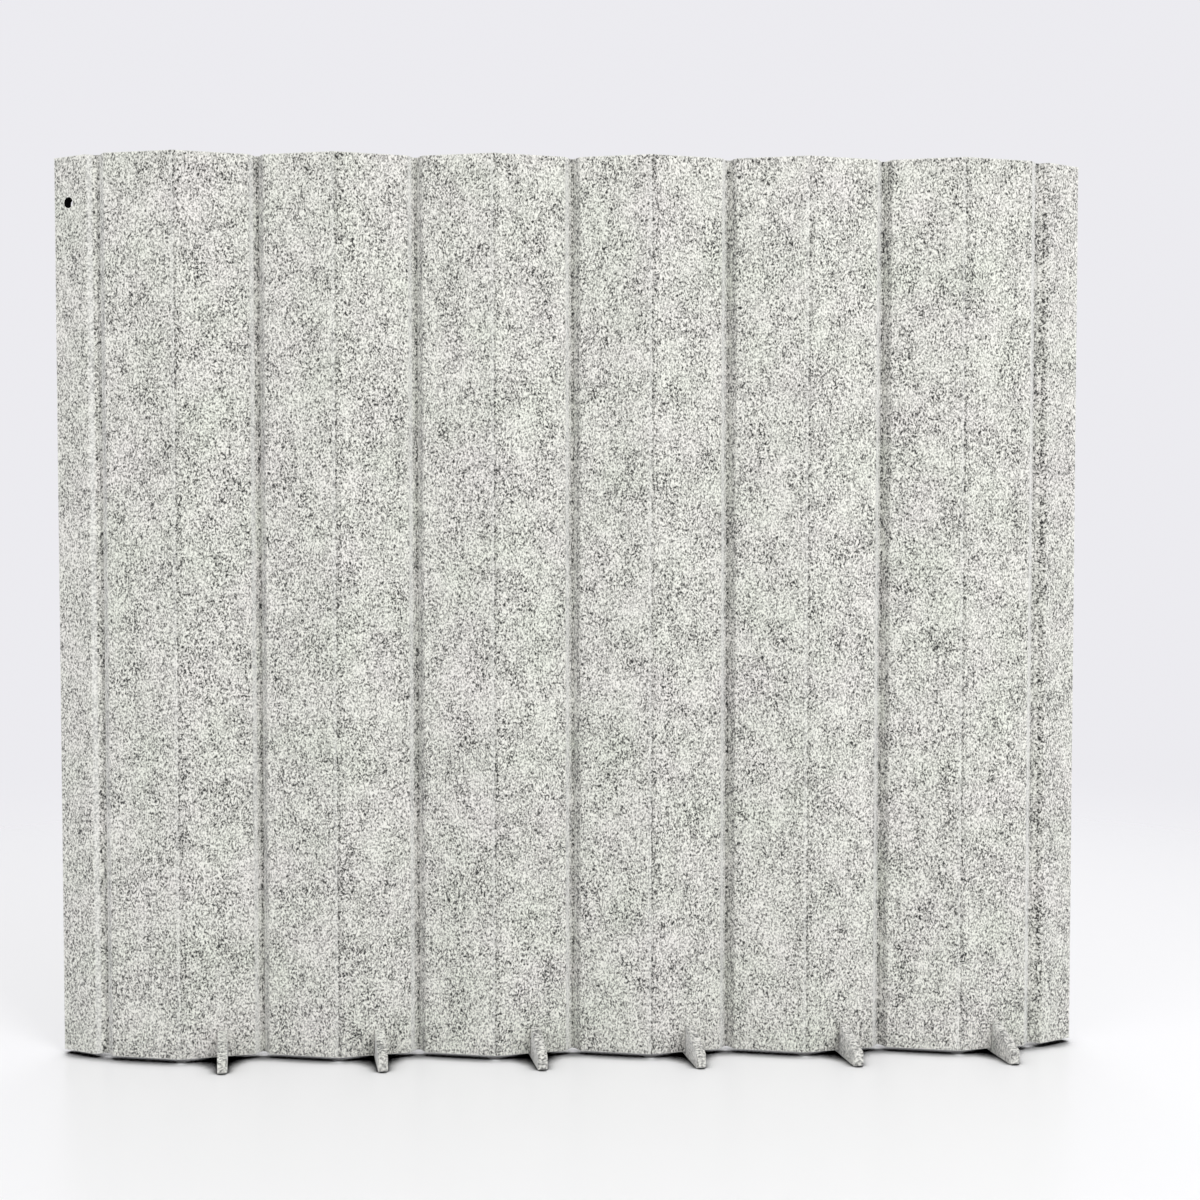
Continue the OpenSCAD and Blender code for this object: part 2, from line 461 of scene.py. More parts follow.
# The plan of the screen, worked out from the frame's hinges
class Plan:
    """Heading and origin of each panel, from the hinge lines. Panel 0 is the left end panel, and
    panel PANELS + 1 the right one. A hinge lies off the board's middle, towards the back at a
    valley, so a panel's heading is the hinges' direction less the slope between their offsets."""

    def __init__(self, sizes):
        self.half = sizes.thickness / 2
        self.web = sizes.web_width / 2
        self.groove = sizes.thickness - sizes.score_depth - sizes.web_thickness
        self.mouth = self.web + self.groove * math.tan(sizes.bevel)
        self.score = self.web + sizes.score_lip
        self.off = self.half - sizes.score_depth - sizes.web_thickness / 2
        self.axes = np.array([joint["pos_m"][:2] for joint in HINGES])
        span = self.axes[1] - self.axes[0]
        self.pitch = math.sqrt(span @ span - (2 * self.off) ** 2)
        self.headings = [self.heading_between(k) for k in range(1, PANELS + 1)]
        self.headings = (
            [self.headings[0] - sizes.end_bend] + self.headings
            + [self.headings[-1] + sizes.end_bend])

    def side(self, fold):
        """Offset of a fold's hinge line from the board's middle: valleys turn at the back."""
        return self.off if fold % 2 == 0 else -self.off

    def heading_between(self, k):
        """Heading of panel k, which lies between hinges k - 1 and k."""
        across = self.axes[k] - self.axes[k - 1]
        slope = math.atan2(self.side(k) - self.side(k - 1), self.pitch)
        return math.atan2(across[1], across[0]) - slope

    def on_panel(self, k, u, v):
        """Plan places of u along panel k from its left fold line and v towards the back."""
        fold = max(k - 1, 0)
        return self.axes[fold] + turned(u, v - self.side(fold), self.headings[k])


# Swells of a pressed face: how far apart the wide and the narrow ones are, and their shares of
# the relief
WIDE_SWELL, WIDE_SHARE = 70 * MM, 0.7
NARROW_SWELL, NARROW_SHARE = 18 * MM, 0.3
# Both fade out over this distance towards a fold
SWELL_FADE = 12 * MM
# A foot's faces have this share of the board's relief
FOOT_RELIEF = 0.6
# How far a groove's lip wanders, and over what length
LIP_WANDER, WANDER_LENGTH = 0.4 * MM, 30 * MM
# Softness of a score's lip
SCORE_SOFTNESS = 0.2 * MM
# Beyond this many times a cut's half width, a panel's face is free of it
GROOVE_REACH, SCORE_REACH = 2, 8
# Seeds of the random draws for the cuts of a panel: the step from panel to panel, and the step to
# its right side
PANEL_SEEDS, RIGHT_SIDE = 11, 7
# Seeds for the relief of all panels, for an end panel's cuts, and the step from these to its relief
PANEL_RELIEF, LEFT_END_SEED, RIGHT_END_SEED, END_RELIEF = 40, 300, 340, 10
# Seeds for the folds and the feet, and the step from foot to foot
FOLD_SEED, FOOT_SEED, FOOT_SEEDS = 500, 600, 10


def board_relief(sizes, u, z, seed):
    """Depth of the pressed face's unevenness: two sizes of soft swell, deeper ones wider."""
    wide = unevenness(u, z, WIDE_SWELL, seed)
    narrow = unevenness(u, z, NARROW_SWELL, seed + 1)
    return sizes.relief * (WIDE_SHARE * wide + NARROW_SHARE * narrow)


def groove_cut(plan, sizes, x, z, seed):
    """Depth of a groove's wall at x from its fold line: a straight slope up to the face, with a
    soft lip that wanders a little along its height."""
    lip = LIP_WANDER * (unevenness(z, 0 * z, WANDER_LENGTH, seed) - 0.5)
    slope = plan.groove * (plan.mouth + lip - x) / (plan.mouth - plan.web)
    return np.where(x < GROOVE_REACH * plan.mouth, smooth_max(slope, 0, sizes.lip_round), 0)


def score_cut(plan, sizes, x, z, seed):
    """Depth of a score's lip at x from its fold line: a short slope up to the face. It takes the
    same values as groove_cut, and is the same at every z and seed."""
    slope = sizes.score_depth * (plan.score - x) / sizes.score_lip
    return np.where(x < SCORE_REACH * plan.score, smooth_max(slope, 0, SCORE_SOFTNESS), 0)


# Longest mesh steps at a score's lip, on a groove's wall, at a groove's lip and beside a cut edge
SCORE_STEP, WALL_STEP, LIP_STEP, EDGE_STEP = 0.6 * MM, 3.2 * MM, 0.7 * MM, 3 * MM


def fold_columns(plan, sizes):
    """Distances from a fold line at which a panel has mesh lines: close together at the score's
    lip and at the groove's lip."""
    lip = 1.5 * sizes.lip_round
    return graded(
        [plan.web, plan.score + SCORE_STEP, plan.mouth - lip, plan.mouth + lip],
        [SCORE_STEP, WALL_STEP, LIP_STEP])


def board_rows(sizes):
    """Heights of the mesh lines up the board, close together at its bottom and top edges."""
    bottom, top, fine = BOARD_BOTTOM, BOARD_TOP, EDGE_STEP
    return graded(
        [bottom, bottom + fine, bottom + 4 * fine, top - 4 * fine, top - fine, top],
        [fine, fine, sizes.mesh_step, fine, fine])


# Mesh lines round a foot's slot: how far to each side of it they are led aside, the height at which
# they stand straight again, and how many there are beside the slot, on its wall and on half of its
# seat
ASIDE, STRAIGHT_FROM = 26 * MM, 110 * MM
BESIDE_LINES, WALL_LINES, SEAT_LINES = 6, 8, 3
# Mesh steps up from the bottom edge there: the first, those on to the distance SLOT_FINE, and those
# beyond it
SLOT_FINE, SLOT_STEPS = 15 * MM, (3 * MM, 4 * MM, 6 * MM)


def notched_grid(plan, sizes, columns):
    """Grid of a panel with a foot's slot in its bottom edge. The lowest mesh line follows the
    slot, and the lines above it straighten out step by step."""
    middle = plan.pitch / 2
    half_slot = sizes.thickness / 2 + sizes.slot_clearance
    left_of = columns[columns < middle - half_slot - ASIDE - MM]
    right_of = columns[columns > middle + half_slot + ASIDE + MM]
    edge = middle - half_slot
    seat_u = np.linspace(edge, middle, SEAT_LINES, endpoint=False)
    low_u = np.concatenate([
        np.linspace(edge - ASIDE, edge, BESIDE_LINES, endpoint=False),
        np.full(WALL_LINES, edge), seat_u])
    low_z = np.concatenate([
        np.full(BESIDE_LINES, BOARD_BOTTOM),
        np.linspace(BOARD_BOTTOM, sizes.seat_height, WALL_LINES, endpoint=False),
        np.full(SEAT_LINES, sizes.seat_height)])
    high_u = np.concatenate([
        np.linspace(edge - ASIDE, edge, BESIDE_LINES + WALL_LINES, endpoint=False), seat_u])
    mirror = lambda x: np.concatenate([x, [middle], 2 * middle - x[::-1]])
    low_u, high_u = mirror(low_u), mirror(high_u)
    low_z = np.concatenate([low_z, [sizes.seat_height], low_z[::-1]])
    bottom_u = np.concatenate([left_of, low_u, right_of])
    top_u = np.concatenate([left_of, high_u, right_of])
    bottom_z = np.concatenate([
        np.full(len(left_of), BOARD_BOTTOM), low_z, np.full(len(right_of), BOARD_BOTTOM)])
    share = graded([0, SLOT_STEPS[0], SLOT_FINE, STRAIGHT_FROM - BOARD_BOTTOM], SLOT_STEPS)
    share = share / share[-1]
    low_a = bottom_u[:, None] * (1 - share) + top_u[:, None] * share
    low_b = bottom_z[:, None] * (1 - share) + STRAIGHT_FROM * share
    rows = graded(
        [STRAIGHT_FROM, BOARD_TOP - 4 * EDGE_STEP, BOARD_TOP - EDGE_STEP, BOARD_TOP],
        [sizes.mesh_step, EDGE_STEP, EDGE_STEP])[1:]
    high_a, high_b = np.meshgrid(top_u, rows, indexing="ij")
    return np.concatenate([low_a, high_a], 1), np.concatenate([low_b, high_b], 1)


def panel_mesh(plan, sizes, k):
    """Panel k between two folds: a slab with a groove's slope or a score's lip at each side."""
    near = fold_columns(plan, sizes)
    between = graded([near[-1], plan.pitch - near[-1]], [sizes.mesh_step])
    columns = np.concatenate([near[:-1], between, plan.pitch - near[-2::-1]])
    if k % 2 == 0:
        a, b = notched_grid(plan, sizes, columns)
    else:
        a, b = np.meshgrid(columns, board_rows(sizes), indexing="ij")
    left_valley = (k - 1) % 2 == 0

    def depth(u, z, face):
        """Depth of the cuts at (u, z) below the front, face 0, or the back, face 1."""
        grooved_left = left_valley == (face == 0)
        left, right = (groove_cut, score_cut) if grooved_left else (score_cut, groove_cut)
        seed = PANEL_SEEDS * k + face
        return (left(plan, sizes, u, z, seed)
                + right(plan, sizes, plan.pitch - u, z, seed + RIGHT_SIDE))

    def swell(u, z, face):
        """Depth of the unevenness, in the whole board's coordinates and none at the folds."""
        side = np.minimum(u, plan.pitch - u) - plan.web
        along = u + (k - 1) * plan.pitch
        relief = board_relief(sizes, along, z, PANEL_RELIEF + face)
        return relief * smooth_step(0, SWELL_FADE, side)

    front = lambda u, z: -plan.half + depth(u, z, 0) + swell(u, z, 0)
    back = lambda u, z: plan.half - depth(u, z, 1) - swell(u, z, 1)
    places, quads, edge, _ = Slab(a, b, front, back, sizes.edge_round).finished()
    u = places[:, 0]
    # The half of the panel towards its right fold is painted as lit, the other half as shaded
    painted_lit_side = u > plan.pitch / 2
    cut, rim = cut_and_rim(plan, places, edge, depth, np.minimum(u, plan.pitch - u), painted_lit_side)
    return places, quads, cut, rim, None


# Shares of cut surface and painted shade: on the slab's edge, on a groove's painted-lit wall, on
# its painted-shaded wall at the lip and how much more shade is painted at the bottom, and painted
# shade beside a score's painted-shaded side, wide and close
EDGE_CUT, LIT_WALL_CUT = 0.25, 0.1
SHADED_WALL_CUT, BOTTOM_SHADE = 0.25, 0.7
WIDE_SCORE_SHADE, CLOSE_SCORE_SHADE = 0.25, 0.1
# Shares of painted highlight: on a groove's painted-lit lip, at a score's painted-lit side and on a
# painted-lit wall
LIP_HIGHLIGHT, SCORE_HIGHLIGHT, WALL_HIGHLIGHT = 0.95, 0.45, 0.2
# Depths at which a groove's wall begins and is full, and its bottom, painted darker as shade, and
# its lip's painted highlight, which ends again further down
WALL_DEPTHS, BOTTOM_DEPTHS = (0.6 * MM, 2 * MM), (2 * MM, 13 * MM)
LIP_DEPTHS, LIP_ENDS = (0.5 * MM, 2.5 * MM), (13 * MM, 7 * MM)
# A score's surroundings lie less deep than this, and within this of the face
SCORE_DEPTH, SCORE_SKIN = 0.7 * MM, 1.2 * MM
# Distances from the fold line at which the painted shade and highlight beside a score, close and
# wide, fade out
CLOSE_SHADING_REACH, WIDE_SHADING_REACH = (5.5 * MM, 3.6 * MM), (14 * MM, 8 * MM)
# Depths over which the rim of an edge thins out, and by how much
RIM_DEPTHS, RIM_LOSS = (1 * MM, 4 * MM), 0.9


def edge_cut(edge):
    """Share of cut surface on a slab's edge, from its edge values."""
    return EDGE_CUT * smooth_step(Slab.BORDER_EDGE, 1, edge)


def cut_and_rim(plan, places, edge, depth, beside, painted_lit_side):
    """Share of cut surface and painted shade, down the walls of a groove, beside a score and on the
    slab's edge, and share of pale rim. One side of each cut is painted as lit: paler, with painted
    highlight at the groove's lip, on its wall and beside a score, and little cut. The other side is
    painted as shaded: darker on the groove's wall, most of all towards its bottom, and beside the
    score. The slab's edge has a pale rim, partly fuzz of fibres and partly painted highlight.
    Beside is the distance from the nearest fold line."""
    u, z, v = places.T
    into = np.where(v < 0, depth(u, z, 0), depth(u, z, 1))
    wall = smooth_step(*WALL_DEPTHS, into)
    scored = (into < SCORE_DEPTH) & (abs(v) > plan.half - SCORE_SKIN)
    close = scored * smooth_step(*CLOSE_SHADING_REACH, beside)
    wide = scored * smooth_step(*WIDE_SHADING_REACH, beside)
    bottom = smooth_step(*BOTTOM_DEPTHS, into)
    wall_cut_and_shade = wall * np.where(painted_lit_side, LIT_WALL_CUT, SHADED_WALL_CUT + BOTTOM_SHADE * bottom)
    score_shade = np.where(painted_lit_side, 0, WIDE_SCORE_SHADE * wide + CLOSE_SCORE_SHADE * close)
    cut = np.maximum(np.maximum(wall_cut_and_shade, score_shade), edge_cut(edge))
    lip = smooth_step(*LIP_DEPTHS, into) * smooth_step(*LIP_ENDS, into)
    fuzz_and_highlight = np.maximum(LIP_HIGHLIGHT * lip, np.maximum(SCORE_HIGHLIGHT * close, WALL_HIGHLIGHT * wall))
    rim = edge * (1 - RIM_LOSS * smooth_step(*RIM_DEPTHS, into)) * (1 - close)
    return cut, np.maximum(rim, fuzz_and_highlight * painted_lit_side)


# The square patch of mesh round the hanging hole: its half width, how many cells it has each way,
# and how near to it other mesh lines may come
PATCH, PATCH_CELLS, PATCH_GAP = 18 * MM, 12, 2 * MM


def end_panel_mesh(plan, sizes, mirrored):
    """An end panel, from its fold line out to its free edge. The left one is the mirror image,
    and has the hanging hole."""
    near = fold_columns(plan, sizes)
    rows, hole = board_rows(sizes), None
    outwards = lambda start: graded(
        [start, sizes.end_width - EDGE_STEP, sizes.end_width], [sizes.mesh_step, EDGE_STEP])[1:]
    if mirrored:
        out = turned(*(np.array(HOLE["pos_m"][:2]) - plan.axes[0]), -plan.headings[0])
        hole_u, hole_up = -out[0], HOLE["pos_m"][2]
        first_u, last_u = hole_u - PATCH, hole_u + PATCH
        first_up, last_up = hole_up - PATCH, hole_up + PATCH
        columns = np.concatenate([
            near, graded([near[-1], first_u], [sizes.mesh_step])[1:],
            np.linspace(first_u, last_u, PATCH_CELLS + 1)[1:], outwards(last_u)])
        rows = np.concatenate([
            rows[rows < first_up - PATCH_GAP],
            np.linspace(first_up, last_up, PATCH_CELLS + 1),
            rows[rows > last_up + PATCH_GAP]])
        i0 = int(np.argmin(abs(columns - first_u)))
        j0 = int(np.argmin(abs(rows - first_up)))
        radius = HOLE["dims"]["r_mm"] * MM
        hole = ((i0, i0 + PATCH_CELLS), (j0, j0 + PATCH_CELLS), (hole_u, hole_up), radius)
    else:
        columns = np.concatenate([near, outwards(near[-1])])
    a, b = np.meshgrid(columns, rows, indexing="ij")
    seed = LEFT_END_SEED if mirrored else RIGHT_END_SEED

    def depth(u, z, face):
        """Depth of the cut at (u, z) below the front, face 0, or the back, face 1."""
        cut = groove_cut if face == 0 else score_cut
        return cut(plan, sizes, u, z, seed + face)

    def swell(u, z, face):
        """Depth of the unevenness, which is none at the fold."""
        relief = board_relief(sizes, u, z, seed + END_RELIEF + face)
        return relief * smooth_step(0, SWELL_FADE, u - plan.web)

    front = lambda u, z: -plan.half + depth(u, z, 0) + swell(u, z, 0)
    back = lambda u, z: plan.half - depth(u, z, 1) - swell(u, z, 1)
    slab = Slab(a, b, front, back, sizes.edge_round, hole)
    places, quads, edge, used = slab.finished()
    # The left end panel is painted as lit all over, the right one as shaded
    cut, rim = cut_and_rim(plan, places, edge, depth, places[:, 0], mirrored)
    wall = None
    if hole:
        wall = (used >= slab.wall_first) & (used < slab.wall_first + slab.wall_count)
        places = places * [-1, 1, 1]
    return places, quads, cut, rim, wall


# How far a fold's strip runs on under the panels' edges, the share of that which its own edge's
# rounding takes, and how many mesh lines lie across the strip
UNDER, UNDER_ROUND, ACROSS_LINES = 0.8 * MM, 0.75, 11
# A crease's depth varies from the first share of itself by the second, over this length
CREASE_LEAST, CREASE_MORE, CREASE_LENGTH = 0.8, 0.4, 25 * MM


def fold_mesh(plan, sizes, fold):
    """The uncut strip in a fold line, laid flat: its grooved side is plain, and its scored side
    dips to a crease along the middle. Its sides run on for a little under the panels' edges."""
    half = plan.web + UNDER
    columns = np.concatenate([
        [-half], np.linspace(-plan.web, plan.web, ACROSS_LINES), [half]])
    a, b = np.meshgrid(columns, board_rows(sizes), indexing="ij")
    thick = sizes.web_thickness / 2

    def dip(x, z):
        """Depth of the crease at (x, z)."""
        vary = unevenness(z, 0 * z, CREASE_LENGTH, FOLD_SEED + fold)
        crease = sizes.crease * smooth_step(plan.web, 0, abs(x))
        return crease * (CREASE_LEAST + CREASE_MORE * vary)

    scored_back = fold % 2 == 0
    front = lambda x, z: -thick + (0 * x if scored_back else dip(x, z))
    back = lambda x, z: thick - (dip(x, z) if scored_back else 0 * x)
    return Slab(a, b, front, back, UNDER_ROUND * UNDER).finished()[:3]


def bent(plan, fold, x, y, z):
    """Places of a flat strip bent between its two panels: each point is carried by the left and
    the right panel, and mixed by a smooth step across the strip."""
    share = smooth_step(-plan.web, plan.web, x)[:, None]
    axis = plan.axes[fold]
    left = axis + turned(x, y, plan.headings[fold])
    right = axis + turned(x, y, plan.headings[fold + 1])
    return np.column_stack([left * (1 - share) + right * share, z])


# A foot's mesh: the longest step round its outline, and up from its sole, first and further on
OUTLINE_STEP, FIRST_RISE, FOOT_RISE = 2.4 * MM, 2.5 * MM, 4.5 * MM
# Radius on the corners of a foot's slot
SLOT_ROUND = 1.5 * MM


def foot_mesh(sizes, seed):
    """A foot laid over its side view: mesh lines are ruled from the sole up to a top line that
    runs from toe to toe down through the slot. Both lines start and end where the straight end of
    a toe does."""
    toe = sizes.thickness / 2 + sizes.foot_reach
    slot = sizes.thickness / 2 + sizes.slot_clearance
    low, high = sizes.toe_round, sizes.toe_height
    half_corner = (math.pi / 2 + math.atan2(FOOT_TOP - high, toe - slot)) / 2
    turn = high - sizes.toe_round / math.tan(half_corner)
    right = [(slot, sizes.seat_height), (slot, FOOT_TOP), (toe, high), (toe, turn)]
    left = [(-v, z) for v, z in reversed(right)]
    radii = [sizes.toe_round, *[SLOT_ROUND] * 4, sizes.toe_round]
    top = rounded_path(left + right, radii, OUTLINE_STEP)
    sole = rounded_path(
        [(-toe, low), (-toe, 0), (toe, 0), (toe, low)], [sizes.toe_round] * 2, OUTLINE_STEP)
    share = np.linspace(0, 1, 2 * (len(top) // 2) + 1)
    top, sole = resampled(top, share), resampled(sole, share)
    rise = graded(
        [0, FIRST_RISE, FOOT_TOP - FIRST_RISE, FOOT_TOP], [FIRST_RISE, FOOT_RISE, FIRST_RISE])
    rise = rise / rise[-1]
    a = sole[:, :1] * (1 - rise) + top[:, :1] * rise
    b = sole[:, 1:] * (1 - rise) + top[:, 1:] * rise
    swell = lambda v, z, face: FOOT_RELIEF * board_relief(sizes, v, z, seed + face)
    front = lambda v, z: -sizes.thickness / 2 + swell(v, z, 0)
    back = lambda v, z: sizes.thickness / 2 - swell(v, z, 1)
    return Slab(a, b, front, back, sizes.edge_round, rise=rise).finished()[:3]


# Materials
class Nodes:
    """Short ways to add and join nodes in one tree."""

    def __init__(self, tree):
        self.tree = tree

    def put(self, socket, value):
        """Joins a socket to another node's output, or sets its value."""
        if isinstance(value, bpy.types.NodeSocket):
            self.tree.links.new(value, socket)
        else:
            socket.default_value = value

    def add(self, kind, settings=None, **inputs):
        """Adds a node, with its settings and what goes into its named sockets."""
        node = self.tree.nodes.new(kind)
        for name, value in (settings or {}).items():
            setattr(node, name, value)
        for name, value in inputs.items():
            self.put(node.inputs[name.replace("_", " ")], value)
        return node

    def math(self, operation, *values, clamp=False):
        """The result of an operation on numbers."""
        node = self.add("ShaderNodeMath", {"operation": operation, "use_clamp": clamp})
        for socket, value in zip(node.inputs, values):
            self.put(socket, value)
        return node.outputs[0]

    def vector(self, operation, *values):
        """The result of an operation on vectors."""
        node = self.add("ShaderNodeVectorMath", {"operation": operation})
        for socket, value in zip(node.inputs, values):
            self.put(socket, value)
        return node.outputs[0]

    def scaled(self, vector, amount):
        """A vector times a number."""
        node = self.add("ShaderNodeVectorMath", {"operation": "SCALE"})
        self.put(node.inputs[0], vector)
        self.put(node.inputs["Scale"], amount)
        return node.outputs[0]

    def noise(self, vector, spacing, detail=0.0, roughness=0.5):
        """Noise whose lumps are about spacing metres apart, from about -1 to 1."""
        node = self.add(
            "ShaderNodeTexNoise", {"noise_dimensions": "3D"}, Vector=vector,
            Scale=1 / spacing, Detail=detail, Roughness=roughness)
        return self.math("MULTIPLY_ADD", node.outputs["Fac"], 2.0, -1.0)

    def between(self, value, start, end, low=0.0, high=1.0):
        """A value taken from low at start to high at end, and held beyond them."""
        node = self.add("ShaderNodeMapRange", Value=value)
        for label, number in (
            ("From Min", start), ("From Max", end), ("To Min", low), ("To Max", high)
        ):
            node.inputs[label].default_value = number
        return node.outputs[0]

    def mix(self, factor, a, b, blend="MIX"):
        """Colour a, taken over by the blend with colour b as the factor goes from 0 to 1."""
        node = self.add("ShaderNodeMix", {"data_type": "RGBA", "blend_type": blend})
        for socket, value in zip((node.inputs[0], node.inputs[6], node.inputs[7]), (factor, a, b)):
            self.put(socket, value)
        return node.outputs[2]

    def shader_mix(self, factor, a, b):
        """Shader a at a factor of 0, shader b at 1, and a mix of both between them."""
        node = self.add("ShaderNodeMixShader", Fac=factor)
        self.put(node.inputs[1], a)
        self.put(node.inputs[2], b)
        return node.outputs[0]

    def ramp(self, value, stops):
        """A colour ramp through (place, colour) stops."""
        node = self.add("ShaderNodeValToRGB", Fac=value)
        while len(node.color_ramp.elements) < len(stops):
            node.color_ramp.elements.new(0.5)
        for element, (place, colour) in zip(node.color_ramp.elements, stops):
            element.position = place
            element.color = colour
        return node.outputs[0]


def group(name, inputs, outputs):
    """An empty shader node group with named sockets, and its input and output nodes."""
    tree = bpy.data.node_groups.new(name, "ShaderNodeTree")
    for label, kind, default in inputs:
        socket = tree.interface.new_socket(label, in_out="INPUT", socket_type=kind)
        if default is not None:
            socket.default_value = default
    for label, kind in outputs:
        tree.interface.new_socket(label, in_out="OUTPUT", socket_type=kind)
    nodes = Nodes(tree)
    return tree, nodes, nodes.add("NodeGroupInput").outputs, nodes.add("NodeGroupOutput").inputs


def rgba(colour):
    """A colour's red, green and blue, with a full alpha."""
    return (*colour, 1.0)


# Scale of the marl along the board, through it and up it
BOARD_SCALE = (1.0, 0.6, 0.72)
# The bending of its finer parts: how far apart the bends are, and how far they reach
BEND_SPACING, BEND_REACH = 9 * MM, 5 * MM
# Soft lumps of the marl: how far apart they are, and how much each counts
LUMPS = ((90 * MM, 0.1), (20 * MM, 0.17), (9 * MM, 0.13), (3 * MM, 1.38), (1.8 * MM, 0.78))
# Only lumps finer than this are bent
BENT_BELOW = 8 * MM
# Short strokes like carded fibres: their directions in degrees, how far each degree shifts them
# along in metres, their spacing, their scale through the board, how many times as long as wide they
# are, and how much the dark and the light ones count
STROKE_TURNS, STROKE_SHIFT = (20, 80, 140), 0.37
STROKE_SPACING, STROKE_THROUGH, STROKE_LENGTH = 3.2 * MM, 0.7, 1.8
DARK_STROKES, LIGHT_STROKES = 1.18, 0.6
# Clusters in which dark strokes and flecks crowd together: their spacing, the noise values at which
# strokes are weakest and strongest, and how weak and strong they are there
CLUSTER_SPACING, CLUSTER_NOISE, THIN, THICK = 42 * MM, (-0.35, 0.35), 0.2, 2.0
# Flecks: their spacing, the noise values from which to which they deepen, how dark they are, the
# crowding from which they gain, and their share below it
FLECK_SPACING, FLECK_NOISE, FLECKS = 5.5 * MM, (-0.36, -0.62), 2.1
FLECKS_FROM, FLECKS_LEAST = 0.8, 0.1
# Where on the sum of lumps and strokes each colour of the marl sits, and how the sum is brought
# into the ramp's range
TONES = {"dark": -1.14, "fleck": -0.64, "ground": -0.29, "light": 0.07, "pale": 0.58}
TONE_SPAN, TONE_MIDDLE = 0.4, 0.5
# The slow wander of the felt's tint, from a little green to a little pink
TINT_SPACING, TINT_NOISE = 130 * MM, (-0.4, 0.4)
GREENISH, PINKISH = (0.982, 1.004, 0.976, 1.0), (1.020, 0.996, 1.022, 1.0)
# Heights of the surface: spacing and share of the finest fuzz, and the share of the whole
FUZZ_SPACING, FUZZ, FUZZ_SPAN = 0.9 * MM, 0.4, 0.25


def marl_parts(n, vector):
    """The fields that the marl is a sum of, each from about -1 to 1: the lumps, then the dark and
    the light strokes. Strokes are noise drawn out in three directions, and the lowest and highest
    of the three at each point."""
    board = n.vector("MULTIPLY", vector, BOARD_SCALE)
    bend = n.add("ShaderNodeTexNoise", Vector=board, Scale=1 / BEND_SPACING, Detail=1.0)
    bend = n.vector("SUBTRACT", bend.outputs["Color"], (0.5, 0.5, 0.5))
    bent_board = n.vector("ADD", board, n.scaled(bend, BEND_REACH))
    strokes = []
    for degrees in STROKE_TURNS:
        turn = n.add(
            "ShaderNodeVectorRotate", {"rotation_type": "Y_AXIS"},
            Vector=bent_board, Angle=math.radians(degrees))
        drawn = n.vector(
            "MULTIPLY", turn.outputs[0], (1.0, STROKE_THROUGH, 1 / STROKE_LENGTH))
        drawn = n.vector("ADD", drawn, (STROKE_SHIFT * degrees, 0.0, 0.0))
        strokes.append(n.noise(drawn, STROKE_SPACING, 1.0, 0.6))
    dark = n.math("MINIMUM", n.math("MINIMUM", strokes[0], strokes[1]), strokes[2])
    light = n.math("MAXIMUM", n.math("MAXIMUM", strokes[0], strokes[1]), strokes[2])
    lumps = [
        n.noise(bent_board if spacing < BENT_BELOW else board, spacing) for spacing, _ in LUMPS]
    return lumps + [dark, light], strokes, bent_board


def marl_group(colours):
    """Marled felt: a weighted sum of lumps and strokes, turned to the fibres' colours by a ramp."""
    name = "Marled Felt"
    if name in bpy.data.node_groups:
        return bpy.data.node_groups[name]
    tree, n, given, out = group(
        name,
        [("Vector", "NodeSocketVector", None),
         ("Contrast", "NodeSocketFloat", 1.0),
         ("Shift", "NodeSocketFloat", 0.0),
         ("Tint", "NodeSocketFloat", 1.0)],
        [("Color", "NodeSocketColor"), ("Height", "NodeSocketFloat")])
    parts, strokes, bent_board = marl_parts(n, given["Vector"])
    weights = [weight for _, weight in LUMPS] + [DARK_STROKES, LIGHT_STROKES]
    clusters = n.noise(bent_board, CLUSTER_SPACING, 2.0, 0.55)
    crowding = n.between(clusters, *CLUSTER_NOISE, THIN, THICK)
    parts[-2] = n.math("MULTIPLY", parts[-2], crowding)
    tone = 0.0
    for value, weight in zip(parts, weights):
        tone = n.math("MULTIPLY_ADD", value, weight, tone)
    fleck = n.between(n.noise(bent_board, FLECK_SPACING, 1.0), *FLECK_NOISE, 0.0, FLECKS)
    sparse = n.between(crowding, FLECKS_FROM, THICK, FLECKS_LEAST, 1.0)
    tone = n.math("SUBTRACT", tone, n.math("MULTIPLY", fleck, sparse))
    tone = n.math("MULTIPLY_ADD", tone, given["Contrast"], given["Shift"])
    tone = n.math("MULTIPLY_ADD", tone, TONE_SPAN, TONE_MIDDLE)
    colour = n.ramp(tone, [
        (TONE_MIDDLE + TONE_SPAN * place, rgba(getattr(colours, fibre)))
        for fibre, place in TONES.items()])
    wander = n.between(n.noise(given["Vector"], TINT_SPACING, 2.0), *TINT_NOISE)
    tint = n.mix(wander, GREENISH, PINKISH)
    n.put(out["Color"], n.mix(given["Tint"], colour, tint, "MULTIPLY"))
    fuzz = n.noise(bent_board, FUZZ_SPACING, 1.0, 0.6)
    height = n.math("MULTIPLY_ADD", fuzz, FUZZ, n.math("ADD", strokes[0], strokes[1]))
    n.put(out["Height"], n.math("MULTIPLY_ADD", height, FUZZ_SPAN, 0.5))
    return tree


# Layers of the cut felt: their scale along the board, through it and up it, their spacing, that of
# the nap over them, and the nap's share of the streaks
LAYER_SCALE, LAYER_SPACING, NAP_SPACING, NAP = (0.12, 1.0, 0.12), 1.1 * MM, 2.4 * MM, 0.5
# How streaked and how dark the cut is, and how high its streaks stand
STREAKS, CUT_SHADE, STREAK_HEIGHT = 0.13, 0.92, 0.3
# Pale rim, partly fuzz of fibres and partly painted highlight: how much it varies, how well it
# covers, and its colour
FUZZ_AND_HIGHLIGHT_VARY, FUZZ_AND_HIGHLIGHT_COVER, FUZZ_AND_HIGHLIGHT_COLOUR = 0.3, 0.5, (0.86, 0.86, 0.83, 1.0)


